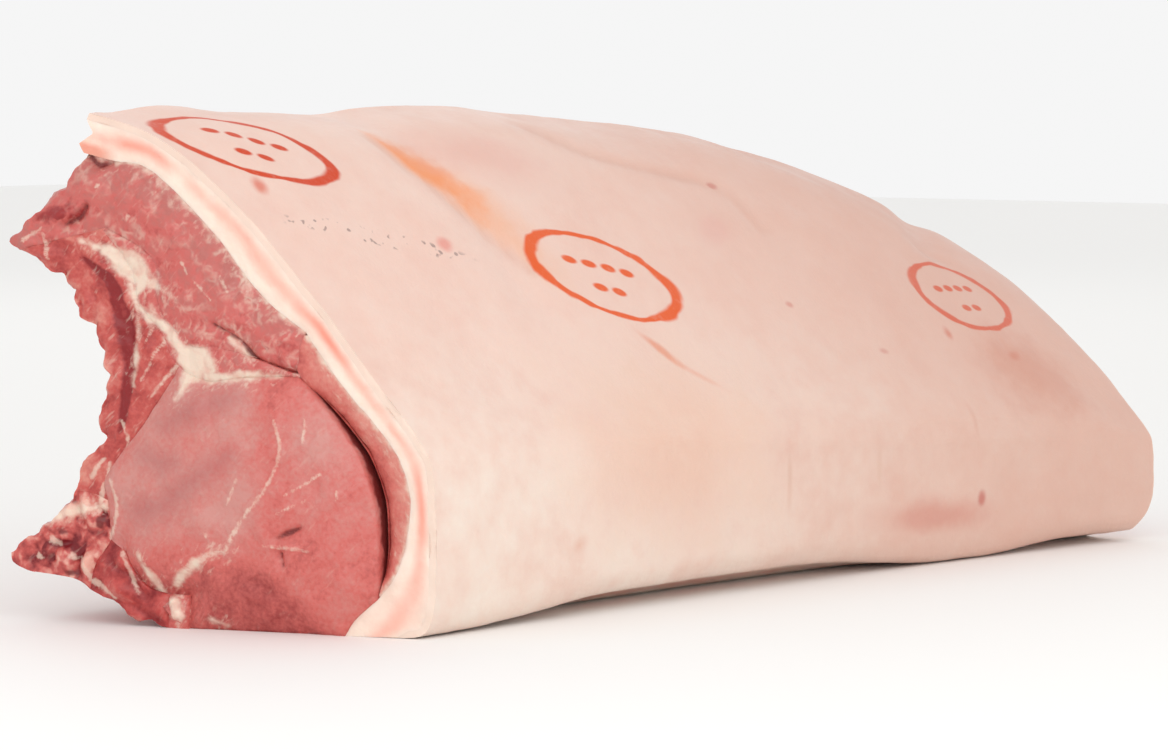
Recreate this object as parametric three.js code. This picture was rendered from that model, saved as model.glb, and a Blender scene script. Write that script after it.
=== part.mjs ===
// Bone-in pork loin with its rind on, lying on the split edge of the backbone.
// Millimetres, +Z up. +X runs along the back from the shown cut to the far cut, and
// +Y points from the rind towards the rib cavity. The loin rests on Z = 0.
import * as THREE from "three";

// Driving dimensions
const LENGTH = 428; // along the rind, from the shown cut to the far cut
const CUT_SLANT = Math.tan(THREE.MathUtils.degToRad(18)); // the shown cut follows the ribs
const CREST_RISE = 0.012; // share of the height by which the back rises behind the shown cut
const CREST_REACH = 0.08; // share of the length over which it rises
const TAPER = 0.165; // share of the height lost slowly towards the far cut
const TAPER_POWER = 2.6;
const END_DROOP = 0.15; // further share lost where the flap's far corner rounds off
const DROOP_POWER = 7;
const SWING = 20; // the far end lies this much further out on the rind side
const SWING_POWER = 3;
const FOOT_LIFT = 5.5; // the rind's lower edge arches off the table between the ends
const FOOT_RISE = [0.05, 0.26]; // shares of the length between which the arch rises
const FOOT_FALL = [0.5, 0.72]; // and between which it comes down again
const FAR_FOOT_LIFT = 3.5; // the edge turns up once more at the far cut
const FAR_FOOT_RISE = [0.76, 0.92];
const FOOT_HEIGHT = [2, 18]; // the lift fades out between these heights
const FOOT_DEPTH = [8, 29]; // and between these distances from the heel
const CREVICE_DEPTH = 50; // how far the open seam beside the eye muscle reaches in
const CREVICE_SEAM = 1; // width of that seam once it has closed
const EYE_SWELL = 6; // the eye muscle swells out of its cuts
const BLADE_SWELL = 3; // and so does the flap's muscle
const CAP_DRAWN_BACK = 2; // the cap muscle draws back into the cut
const GAP = 0.3; // room between neighbouring tissues
const STATIONS = 16; // steps along the length, half as long at the cuts as on average

// Outlines in the shown cut. Every point is [y, z]: y from the rind's heel towards the
// ribs, z above the table. An outline starts where the one before it in its tissue ends.
const SKIN = [
  [9, 0], [1, 2.5], [-2.5, 17], [-2.5, 52], [1.5, 65],
  [17, 85], [41, 116], [66, 144.5], [93, 166.5], [117, 174.5],
];
const FLAP_END = [[117, 174.5], [119, 161]];
const LEAN_TOP = [
  [119, 161], [109, 158.6], [102, 158], [95, 154.6], [84, 145],
  [72.5, 132.6], [64.8, 122.6], [56.5, 112.8], [49, 106.8], [42.5, 102],
];
const LEAN_SIDE = [
  [42.5, 102], [34, 90], [26.5, 80.3], [18.5, 71.2], [11.5, 62.6],
  [7.9, 53.5], [6.5, 44.5], [8, 32], [11.6, 20.6], [18, 12.5],
];
const LEAN_FOOT = [[18, 12.5], [25.5, 5.5], [29, 0]];
const FLAP_TIP = [[119, 161], [129, 148.5], [145, 133.5], [143, 128]];
const TIP_MIDDLE = [128, 132];
const RIB_SIDE = [
  [143, 128], [132, 122.5], [124, 113.5], [117, 101], [113, 88],
  [112, 78], [114.5, 68], [113.5, 61.5], [119, 54], [124, 46],
];
const RIB_FOOT = [[124, 46], [117.5, 45], [112.5, 43]];
const CHINE_TOP = [[124, 46], [131, 37.5], [141, 30], [146.5, 23]];
const CHINE_UNDER = [[146.5, 23], [144, 18.5], [125, 15.5], [119, 12]];
const CHINE_INNER = [[111.5, 29.5], [117, 21], [119, 12]];
const CHINE_SPLIT = [[119, 12], [108.5, 6.5], [98, 1.8], [91, 0]];
const EYE_AT_RIBS = [[98, 71], [107.5, 59], [113.3, 50], [112.5, 43]];
const EYE_AT_CHINE = [[111.5, 29.5], [107, 27.5], [104, 21], [99, 14], [90.5, 11.5]];
const SPINE_TIP = [[84, 11.5], [84, 0]];
const CREVICE = [
  [42.5, 102], [44.5, 95], [44.5, 87], [36, 76.8], [29, 67.7],
  [23, 58], [19, 46], [17.5, 33], [17.2, 22], [18, 12.5],
];
const CREVICE_OPEN = [1, 1, 2, 3, 3.4, 3, 1]; // width at the shown cut, downwards
const SEAM_LINE = [
  [113, 135.5], [99, 123], [97, 110], [90, 100], [82, 91.5], [65, 90], [44.5, 87],
];
const SEAM_HALF_WIDTH = [0.7, 5, 2.2, 2.2, 6, 1.2, 0.7];

// Cells along each shared boundary, the same for both of its neighbours
const FAT_DEEP = 2;
const LEAN_TOP_CELLS = 20;
const LEAN_SIDE_CELLS = 16;
const CAP_FIRST = 1; // the cap muscle covers the lean side between these two cell ends
const CAP_LAST = 14;
const LEAN_FOOT_CELLS = 2;
const FLAP_TIP_CELLS = 6;
const SEAM_AT_RIBS_CELLS = 8;
const SEAM_AT_EYE_CELLS = 6;
const EYE_SHOULDER_CELLS = 8;
const EYE_SIDE_CELLS = 12;
const EYE_FOOT_CELLS = 10;
const EYE_AT_RIBS_CELLS = 6;
const CHINE_CELLS = 6;
const CHINE_NECK_CELLS = 2;
const CHINE_MEAT_CELLS = 5;
const SPINE_CELLS = 4;

const smooth = ([from, to], x) => THREE.MathUtils.smoothstep(x, from, to);
const curve = (points) => new THREE.SplineCurve(points.map(([y, z]) => new THREE.Vector2(y, z)));
const along = (points, cells) => curve(points).getSpacedPoints(cells);
const back = (run) => [...run].reverse();
const joined = (...runs) => runs.flatMap((run, i) => (i ? run.slice(1) : run));
const straight = (from, to, cells) => along([from.toArray(), to.toArray()], cells);

// A run of points moved to its left by a width that changes smoothly along it.
function sideways(run, widths, share) {
  const width = curve(widths.map((value, i) => [i, value]));
  return run.map((p, i) => {
    const ahead = run[Math.min(i + 1, run.length - 1)];
    const course = ahead.clone().sub(run[Math.max(i - 1, 0)]).normalize();
    const left = new THREE.Vector2(-course.y, course.x);
    return p.clone().addScaledVector(left, share * width.getPoint(i / (run.length - 1)).y);
  });
}

// Positive for an outline that runs anticlockwise.
function signedArea(loop) {
  return loop.reduce((sum, p, i) => sum + p.cross(loop[(i + 1) % loop.length]) / 2, 0);
}

// A closed outline moved to its left by d.
function drawnIn(loop, d) {
  return loop.map((p, i) => {
    const a = p.clone().sub(loop.at(i - 1)).normalize();
    const b = loop[(i + 1) % loop.length].clone().sub(p).normalize();
    const bisector = new THREE.Vector2(-a.y - b.y, a.x + b.x);
    return p.clone().addScaledVector(bisector, d / Math.max(bisector.lengthSq() / 2, 0.5));
  });
}

// The points inside four sides, by blending the opposite ones. low and high run the same
// way, and so do first and last, which join their ends.
function patch({ low, high, first, last }) {
  const nu = low.length - 1;
  const nw = first.length - 1;
  const loop = joined(low, last, back(high), back(first)).slice(0, -1);
  const turn = Math.sign(signedArea(loop));
  const rim = drawnIn(loop, (turn * GAP) / 2);
  const lowAt = (i) => rim[i];
  const lastAt = (j) => rim[nu + j];
  const highAt = (i) => rim[2 * nu + nw - i];
  const firstAt = (j) => rim.at(-j);
  const at = (i, j) => {
    const u = i / nu;
    const w = j / nw;
    const across = lowAt(i).clone().lerp(highAt(i), w);
    const between = firstAt(j).clone().lerp(lastAt(j), u);
    const lowChord = lowAt(0).clone().lerp(lowAt(nu), u);
    const highChord = highAt(0).clone().lerp(highAt(nu), u);
    return across.add(between).sub(lowChord.lerp(highChord, w));
  };
  return { nu, nw, turn, at };
}

// Where a point of the shown cut lies in the loin, at share s of the length.
function placed(p, s, standOut) {
  const rise = CREST_RISE * smooth([0, CREST_REACH], s);
  const height = 1 + rise - TAPER * s ** TAPER_POWER - END_DROOP * s ** DROOP_POWER;
  const arch = FOOT_LIFT * smooth(FOOT_RISE, s) * (1 - smooth(FOOT_FALL, s));
  const lift = arch + FAR_FOOT_LIFT * smooth(FAR_FOOT_RISE, s);
  const atFoot = (1 - smooth(FOOT_HEIGHT, p.y)) * (1 - smooth(FOOT_DEPTH, p.x));
  const x = LENGTH * s - CUT_SLANT * (1 - s) * p.x + standOut;
  const y = p.x - SWING * s ** SWING_POWER;
  const z = (p.y - GAP / 2) * height + lift * atFoot;
  return [x, y, z];
}

// Share of the length at which station k lies.
function shareAt(k) {
  const even = k / STATIONS;
  return even - Math.sin(2 * Math.PI * even) / (4 * Math.PI);
}

// One tissue that runs through the loin: a box bent so that its section fills four sides.
function tissue(name, colour, sidesAt, { swell = 0, drawnBack = 0 } = {}) {
  const sections = Array.from({ length: STATIONS + 1 }, (_, k) => patch(sidesAt(shareAt(k))));
  const { nu, nw, turn } = sections[0];
  const geometry = new THREE.BoxGeometry(nu, nw, STATIONS, nu, nw, STATIONS);
  geometry.translate(nu / 2, nw / 2, STATIONS / 2);
  const position = geometry.getAttribute("position");
  for (let v = 0; v < position.count; v++) {
    const i = Math.round(position.getX(v));
    const j = Math.round(position.getY(v));
    const k = Math.round(position.getZ(v));
    const crown = (16 * i * (nu - i) * j * (nw - j)) / (nu * nw) ** 2;
    const shownCut = k === 0 ? drawnBack - swell * crown : 0;
    const farCut = k === STATIONS ? (swell * crown) / 2 : 0;
    position.setXYZ(v, ...placed(sections[k].at(i, j), shareAt(k), shownCut + farCut));
  }
  if (turn < 0) {
    geometry.setIndex(back([...geometry.getIndex().array]));
  }
  geometry.computeVertexNormals();
  const material = new THREE.MeshStandardMaterial({ color: colour, roughness: 0.45, metalness: 0 });
  const mesh = new THREE.Mesh(geometry, material);
  mesh.name = name;
  return mesh;
}

// Boundaries between tissues in the shown cut
const skin = along(SKIN, LEAN_FOOT_CELLS + LEAN_SIDE_CELLS + LEAN_TOP_CELLS);
const leanTop = along(LEAN_TOP, LEAN_TOP_CELLS);
const leanSide = along(LEAN_SIDE, LEAN_SIDE_CELLS);
const leanFoot = along(LEAN_FOOT, LEAN_FOOT_CELLS);
const seamLine = along(SEAM_LINE, SEAM_AT_RIBS_CELLS + SEAM_AT_EYE_CELLS);
const seamAbove = sideways(seamLine, SEAM_HALF_WIDTH, -1);
const seamBelow = sideways(seamLine, SEAM_HALF_WIDTH, 1);
const seamAtRibs = seamBelow.slice(0, SEAM_AT_RIBS_CELLS + 1);
const seamAtEye = seamBelow.slice(SEAM_AT_RIBS_CELLS);
const seamStart = [seamAbove[0], seamBelow[0]];
const seamEnd = [seamAbove.at(-1), seamBelow.at(-1)];
const tipToSeam = along([FLAP_TIP.at(-1), TIP_MIDDLE, seamAbove[0].toArray()], FLAP_TIP_CELLS);
const bladeEnd = along([...CREVICE.slice(0, 2), seamEnd[0].toArray()], FLAP_TIP_CELLS);
const eyeRim = along(
  [seamEnd[1].toArray(), ...CREVICE.slice(3)],
  EYE_SHOULDER_CELLS + EYE_SIDE_CELLS,
);
const eyeAtRibs = along([seamAtEye[0].toArray(), ...EYE_AT_RIBS], EYE_AT_RIBS_CELLS);
const ribFoot = along(RIB_FOOT, CHINE_CELLS);
const chineNeck = along([RIB_FOOT.at(-1), CHINE_INNER[0]], CHINE_NECK_CELLS);
const chineInner = along(CHINE_INNER, CHINE_CELLS - CHINE_NECK_CELLS);
const eyeAtChine = along(EYE_AT_CHINE, CHINE_MEAT_CELLS);
const spineLeft = along([EYE_AT_CHINE.at(-1), CHINE_SPLIT.at(-1)], SPINE_CELLS);
const spineRight = along(SPINE_TIP, SPINE_CELLS);
const spineTop = [spineLeft[0], spineRight[0]];
const spineFoot = [spineLeft.at(-1), spineRight.at(-1)];

// The rind with the back fat under it, from the table over the back to the flap
const rindAndFat = tissue("rind_and_fat", 0xf0d0bd, () => ({
  low: skin,
  high: back(joined(leanTop, leanSide, leanFoot)),
  first: straight(skin[0], leanFoot.at(-1), FAT_DEEP),
  last: along(FLAP_END, FAT_DEEP),
}));

// The thin dark muscle against the fat, parted from the eye by the open seam
function capSides(s) {
  const closed = smooth([0, CREVICE_DEPTH], s * LENGTH);
  const widths = CREVICE_OPEN.map((open) => THREE.MathUtils.lerp(open, CREVICE_SEAM, closed));
  const low = leanSide.slice(CAP_FIRST, CAP_LAST + 1);
  const facing = along(CREVICE, LEAN_SIDE_CELLS).slice(CAP_FIRST, CAP_LAST + 1);
  const high = sideways(facing, widths, -1);
  return {
    low,
    high,
    first: straight(low[0], high[0], FAT_DEEP),
    last: straight(low.at(-1), high.at(-1), FAT_DEEP),
  };
}
const capMuscle = tissue("cap_muscle", 0xb85a52, capSides, { drawnBack: CAP_DRAWN_BACK });

// The flat muscle of the flap, above the fat seam
const bladeSides = {
  low: leanTop,
  high: joined(tipToSeam, seamAbove),
  first: along(FLAP_TIP, FLAP_TIP_CELLS),
  last: bladeEnd,
};
const bladeMuscle = tissue("blade_muscle", 0xcd8078, () => bladeSides, { swell: BLADE_SWELL });

// The white fat between the flap's muscle and the muscles under it
const seamFat = tissue("seam_fat", 0xedd2bd, () => ({
  low: seamAbove,
  high: seamBelow,
  first: seamStart,
  last: seamEnd,
}));

// The meat that covers the ribs, along the hollow side
const ribMeat = tissue("rib_meat", 0xb5534f, () => ({
  low: along(RIB_SIDE, 1 + SEAM_AT_RIBS_CELLS + EYE_AT_RIBS_CELLS),
  high: joined(seamStart, seamAtRibs, eyeAtRibs),
  first: tipToSeam,
  last: ribFoot,
}));

// The large eye muscle
const eyeSides = {
  low: joined(seamAtEye, eyeRim.slice(0, EYE_SHOULDER_CELLS + 1)),
  high: joined(spineRight, straight(spineRight.at(-1), leanFoot.at(-1), EYE_FOOT_CELLS)),
  first: joined(eyeAtRibs, chineNeck, eyeAtChine, spineTop),
  last: joined(eyeRim.slice(EYE_SHOULDER_CELLS), leanFoot),
};
const loinEye = tissue("loin_eye", 0xd0736b, () => eyeSides, { swell: EYE_SWELL });

// The sawn backbone
const chineBone = tissue("chine_bone", 0xc06a62, () => ({
  low: along(CHINE_TOP, CHINE_CELLS),
  high: joined(chineNeck, chineInner),
  first: ribFoot,
  last: along(CHINE_UNDER, CHINE_CELLS),
}));

// The small muscle between the backbone and the eye
const chineMeat = tissue("chine_meat", 0xc25a56, () => ({
  low: chineInner,
  high: spineLeft,
  first: eyeAtChine,
  last: along(CHINE_SPLIT, CHINE_MEAT_CELLS),
}));

// The gristly tip of the backbone's spines, at the table
const spineTip = tissue("spine_tip", 0xe8c9b6, () => ({
  low: spineLeft,
  high: spineRight,
  first: spineTop,
  last: spineFoot,
}));

const loin = new THREE.Group();
loin.name = "pork_loin";
loin.add(
  rindAndFat, capMuscle, bladeMuscle, seamFat, ribMeat,
  loinEye, chineBone, chineMeat, spineTip,
);

// The origin goes to the middle of the footprint, on the table.
const box = new THREE.Box3().setFromObject(loin);
const middle = box.getCenter(new THREE.Vector3());
for (const mesh of loin.children) {
  mesh.geometry.translate(-middle.x, -middle.y, -box.min.z);
}

export default loin;
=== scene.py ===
import math

import bmesh
import bpy
import numpy as np
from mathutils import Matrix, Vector, noise


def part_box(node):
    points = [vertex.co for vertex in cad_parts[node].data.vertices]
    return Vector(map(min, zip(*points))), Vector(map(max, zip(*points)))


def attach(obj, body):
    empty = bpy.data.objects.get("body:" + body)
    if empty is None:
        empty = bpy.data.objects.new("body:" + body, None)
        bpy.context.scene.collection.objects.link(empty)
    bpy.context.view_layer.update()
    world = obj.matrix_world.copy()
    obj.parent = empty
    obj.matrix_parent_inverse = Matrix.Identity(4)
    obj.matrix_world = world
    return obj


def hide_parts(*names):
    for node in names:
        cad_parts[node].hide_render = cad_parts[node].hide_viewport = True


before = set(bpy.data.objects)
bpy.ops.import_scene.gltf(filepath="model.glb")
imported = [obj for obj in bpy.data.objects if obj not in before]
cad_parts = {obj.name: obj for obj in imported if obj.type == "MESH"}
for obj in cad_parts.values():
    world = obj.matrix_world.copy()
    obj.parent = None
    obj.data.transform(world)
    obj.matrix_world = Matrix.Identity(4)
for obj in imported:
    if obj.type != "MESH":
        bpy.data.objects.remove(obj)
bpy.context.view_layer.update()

# Rind: the pig's skin, left on from the table over the back to the flap. It is a tough pale
# layer grown fast to the fat under it, scalded and scraped clean, then marked in orange ink.
# Sizes are in millimetres. An outline's points are [y, z] in the shown cut.
MM = 0.001
LENGTH = 428  # along the rind, from the shown cut to the far cut
CUT_SLANT = math.radians(18)  # the shown cut follows the ribs
CREST_RISE, CREST_REACH = 0.012, 0.08  # the back rises a little behind the shown cut
TAPER, TAPER_POWER = 0.165, 2.6  # share of the height lost slowly towards the far cut
END_DROOP, DROOP_POWER = 0.15, 7  # further share lost where the flap's far corner rounds off
SWING, SWING_POWER = 20, 3  # the far end lies further out on the rind side
FOOT_LIFT, FOOT_RISE, FOOT_FALL = 5.5, (0.05, 0.26), (0.5, 0.72)  # the lower edge arches
FAR_FOOT_LIFT, FAR_FOOT_RISE = 3.5, (0.76, 0.92)  # and turns up once more at the far cut
FOOT_HEIGHT, FOOT_DEPTH = (2, 18), (8, 29)  # where that lift fades out
SKIN = [
    [9, 0], [1, 2.5], [-2.5, 17], [-2.5, 52], [1.5, 65],
    [17, 85], [41, 116], [66, 144.5], [93, 166.5], [117, 174.5],
]
RIND_THICK = 2.4
FLAP_TORN = 8  # cells at the flap's end that are torn
FLAP_TEAR = (16, 1.6, 22)  # size and height of the torn lumps, seed
FLAP_CURL = [(0, 1.4), (0.35, -1.4), (0.75, 2), (1, 0)]  # depth in the fat, how far it stands out
RIND_CELLS = (118, 2, 150)  # around the back, through the rind, along the back
CLOSER = 0.85  # the steps along the back are this much closer together at the cuts
HEEL_ROUND, HEEL_REACH, HEEL_HIGH, HEEL_DEEP = 9, (0.9, 1), (0, 28), (10, 40)  # the far corner
WAVER = [
    ((143, 128), 16, 2.8), ((124, 46), 9, 2.2), ((146.5, 23), 12, 2.8), ((119, 161), 7, 1.4),
]  # edges of the hollow side that waver along the back: place, reach, how far
WAVER_WAVES = [(0.6, 9.3, 2), (0.4, 4.3, 1)]  # share, length and shift of those waves
WAVER_FROM, WAVER_SHIFT = 0.06, 40  # share of the length where they start; their y and z differ
TEAR_REACH, TEAR_AWAY, TEAR_AT_CUT = 14, 0.35, 0.65  # tears are deepest near the cuts
KNIFE_TRACK = [(0.9, 14, 6), (0.35, 4.5, 7)]  # height, length and seed of its waves
SHOWN_OUT = np.array([-math.cos(CUT_SLANT), -math.sin(CUT_SLANT), 0])
FAR_OUT = np.array([1.0, 0, 0])
CRISP = math.radians(62)  # edges sharper than this stay crisp
CURVE_STEPS, LINE_CELLS = 60, 160  # steps between two points of a curve, cells of a fine line


def smooth(edges, x):
    """Eases from 0 at the first edge to 1 at the second."""
    t = np.clip((np.asarray(x, float) - edges[0]) / (edges[1] - edges[0]), 0, 1)
    return t * t * (3 - 2 * t)


def off_cuts(share, reach):
    """1 along the back, fading to 0 at the two cuts."""
    return smooth((0, reach), share) * smooth((1, 1 - reach), share)


def spaced(points, cells):
    """Evenly spaced points on a smooth curve through the given ones."""
    p = np.array(points, float)
    q = np.vstack([p[:1], p, p[-1:]])
    t = np.linspace(0, 1, CURVE_STEPS, endpoint=False)[:, None]
    fine = []
    for a, b, c, d in zip(q[:-3], q[1:-2], q[2:-1], q[3:]):
        v0, v1 = (c - a) / 2, (d - b) / 2
        fine.append((2 * b - 2 * c + v0 + v1) * t**3 + (3 * c - 3 * b - 2 * v0 - v1) * t**2 + v0 * t + b)
    fine = np.vstack(fine + [p[-1:]])
    run = np.concatenate([[0], np.cumsum(np.linalg.norm(np.diff(fine, axis=0), axis=1))])
    want = np.linspace(0, run[-1], cells + 1)
    return np.stack([np.interp(want, run, fine[:, k]) for k in (0, 1)], 1)


def straight(start, end, cells):
    return np.linspace(start, end, cells + 1)


def left_of(run):
    """The unit vector to the left of each point of a run."""
    course = np.gradient(run, axis=0)
    course /= np.linalg.norm(course, axis=1)[:, None]
    return np.stack([-course[:, 1], course[:, 0]], 1)


def section(low, high, first, last):
    """The points inside four sides, by blending the opposite ones."""
    u = np.linspace(0, 1, len(low))[:, None, None]
    w = np.linspace(0, 1, len(first))[None, :, None]
    across = low[:, None] * (1 - w) + high[:, None] * w
    between = first[None] * (1 - u) + last[None] * u
    low_chord = low[0] * (1 - u) + low[-1] * u
    high_chord = high[0] * (1 - u) + high[-1] * u
    return across + between - low_chord * (1 - w) - high_chord * w


def placed(flat, share):
    """Where points of the shown cut lie in the loin, at shares of its length."""
    wavers = off_cuts(share, WAVER_FROM)
    flat = np.array(flat, float)
    run = LENGTH * share[:, None] + [0, WAVER_SHIFT]
    for k, (corner, reach, far) in enumerate(WAVER):
        near = far * wavers * np.exp(-np.sum((flat - corner) ** 2, axis=1) / reach**2)
        waves = sum(part * np.sin(run / long + shift * k) for part, long, shift in WAVER_WAVES)
        flat += near[:, None] * waves
    y, z = flat[:, 0], flat[:, 1]
    rise = CREST_RISE * smooth((0, CREST_REACH), share)
    height = 1 + rise - TAPER * share**TAPER_POWER - END_DROOP * share**DROOP_POWER
    arch = FOOT_LIFT * smooth(FOOT_RISE, share) * (1 - smooth(FOOT_FALL, share))
    lift = arch + FAR_FOOT_LIFT * smooth(FAR_FOOT_RISE, share)
    at_foot = (1 - smooth(FOOT_HEIGHT, z)) * (1 - smooth(FOOT_DEPTH, y))
    heel = smooth(HEEL_REACH, share) ** 2 * (1 - smooth(HEEL_HIGH, z)) * (1 - smooth(HEEL_DEEP, y))
    along = LENGTH * share - math.tan(CUT_SLANT) * (1 - share) * y - HEEL_ROUND * heel
    return np.stack([along, y - SWING * share**SWING_POWER, z * height + lift * at_foot], 1)


skin_edge = spaced(SKIN, RIND_CELLS[0])
rind_low, rind_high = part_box("rind_and_fat")
ORIGIN = np.array([
    LENGTH - rind_high.x / MM,
    skin_edge[:, 0].min() - SWING - rind_low.y / MM,
    0,
])


def ripple(points, size, seed=0, octaves=3):
    """Uneven waves of about the given size, from about -1 to 1."""
    shift = Vector((seed * 17.3, seed * 5.1, seed * 9.7))
    return np.array([noise.fractal(Vector(p) / size + shift, 1.0, 2.0, octaves) for p in points])


def lumpy(points, size, seed=0):
    """Round lumps of about the given size with creases between them, from about -0.5 to 1."""
    return 2.6 * np.abs(ripple(points, size, seed, 1)) - 0.5


def gap_to(points, line, half_width):
    """How far points lie outside a line of the given half widths, less than 0 inside it."""
    fine = spaced(line, LINE_CELLS)
    width = np.interp(np.linspace(0, 1, len(fine)), np.linspace(0, 1, len(half_width)), half_width)
    gap = np.full(len(points), np.inf)
    for p, w in zip(fine, width):
        gap = np.minimum(gap, np.hypot(points[:, 0] - p[0], points[:, 1] - p[1]) - w)
    return gap


def uneven(points):
    """The uneven track of the knife, the same for all tissues of a cut."""
    return sum(high * ripple(points, size, seed) for high, size, seed in KNIFE_TRACK)


class Tissue:
    """One tissue of the loin: a box of cells whose section fills four sides of the shown cut,
    drawn out along the back to the far cut."""

    def __init__(self, name, low, high, first, last, steps):
        cells = section(low, high, first, last)
        across, deep = len(low) - 1, len(first) - 1
        bm = bmesh.new()
        bmesh.ops.create_grid(bm, x_segments=across, y_segments=deep, size=0.5)
        bmesh.ops.translate(bm, verts=bm.verts, vec=(0.5, 0.5, 0))
        bmesh.ops.scale(bm, verts=bm.verts, vec=(across, deep, 1))
        drawn = bmesh.ops.extrude_face_region(bm, geom=bm.faces[:])["geom"]
        far_end = [part for part in drawn if isinstance(part, bmesh.types.BMVert)]
        bmesh.ops.translate(bm, verts=far_end, vec=(0, 0, steps))
        sides = [e for e in bm.edges if abs(e.verts[0].co.z - e.verts[1].co.z) > 0.5]
        bmesh.ops.subdivide_edges(bm, edges=sides, cuts=steps - 1)
        index = np.array([v.co for v in bm.verts]).round().astype(int)
        self.column, self.row, self.station = index.T
        self.deep, self.across = deep, across
        even = self.station / steps
        self.share = even - CLOSER * np.sin(2 * np.pi * even) / (2 * np.pi)
        self.shown = self.station == 0
        self.far = self.station == steps
        self.cut = self.shown | self.far
        self.flat = cells[self.column, self.row]
        rim = np.vstack([low, last, high[::-1], first[::-1]])
        reach = np.full(cells.shape[:2], np.inf)
        for p in rim:
            reach = np.minimum(reach, np.hypot(*(cells - p).transpose(2, 0, 1)))
        self.from_rim = reach[self.column, self.row]
        self.name = name
        self.lay(bm)

    def lay(self, bm):
        """Makes the object, with the box bent to its place in the loin."""
        for v, p in zip(bm.verts, placed(self.flat, self.share) - ORIGIN):
            v.co = p * MM
        bmesh.ops.recalc_face_normals(bm, faces=bm.faces)
        mesh = bpy.data.meshes.new(self.name)
        bm.to_mesh(mesh)
        bm.free()
        mesh.shade_smooth()
        self.object = bpy.data.objects.new(self.name, mesh)
        bpy.context.scene.collection.objects.link(self.object)

    @property
    def points(self):
        """The vertices, in millimetres."""
        flat = np.empty(len(self.share) * 3, np.float32)
        self.object.data.vertices.foreach_get("co", flat)
        return flat.reshape(-1, 3) / MM

    @points.setter
    def points(self, points):
        points[:, 2] = np.maximum(points[:, 2], 0)
        self.object.data.vertices.foreach_set("co", (points * MM).astype(np.float32).ravel())
        self.object.data.update()

    def reshape(self, flat):
        """Moves the vertices to other places in the section."""
        self.points = self.points + placed(flat, self.share) - placed(self.flat, self.share)
        self.flat = flat

    def tear(self, outward, inside, size, high, seed):
        """Tears an edge of the section, most of all at the two cuts."""
        from_far = 1 - self.share
        cuts = np.exp(-self.share * LENGTH / TEAR_REACH) + np.exp(-from_far * LENGTH / TEAR_REACH)
        own = placed(self.flat, self.share)
        lumps = lumpy(own, size, seed) + 0.5 * ripple(own, size / 2, seed)
        torn = lumps * high * (TEAR_AWAY + TEAR_AT_CUT * cuts)
        self.reshape(self.flat + outward * (torn * inside)[:, None])

    def swell(self, amount):
        """Moves every vertex out of the surface."""
        normals = np.empty(len(self.share) * 3, np.float32)
        self.object.data.vertex_normals.foreach_get("vector", normals)
        self.points = self.points + normals.reshape(-1, 3) * amount[:, None]

    def stand_out(self, amount, far_share=0.6):
        """Moves the cut faces out along the loin, those of the far cut by a share of that."""
        shown, far = (self.shown * amount)[:, None], (self.far * amount)[:, None]
        self.points = self.points + SHOWN_OUT * shown + FAR_OUT * far_share * far

    def domed(self, reach):
        """0 at the rim of the section, rising to 1 over about the given distance."""
        return 1 - np.exp(-self.from_rim / reach)

    def note(self, name, values):
        """Writes a value for every vertex, for the material to read."""
        values = np.asarray(values, np.float32)
        kind, field = ("FLOAT", "value") if values.ndim == 1 else ("FLOAT_VECTOR", "vector")
        layer = self.object.data.attributes.new(name, kind, "POINT")
        layer.data.foreach_set(field, values.ravel())

    def finish(self, material, node):
        """Gives the piece its material and puts it in the place of a CAD node."""
        self.object.data.set_sharp_from_angle(angle=CRISP)
        self.object.data.materials.append(material)
        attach(self.object, "root")
        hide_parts(node)


def layer(name, outer, inner, deep, steps):
    """A tissue between two edges that face each other, with straight ends."""
    first, last = (straight(outer[k], inner[k], deep) for k in (0, -1))
    return Tissue(name, outer, inner, first, last, steps)


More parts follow.
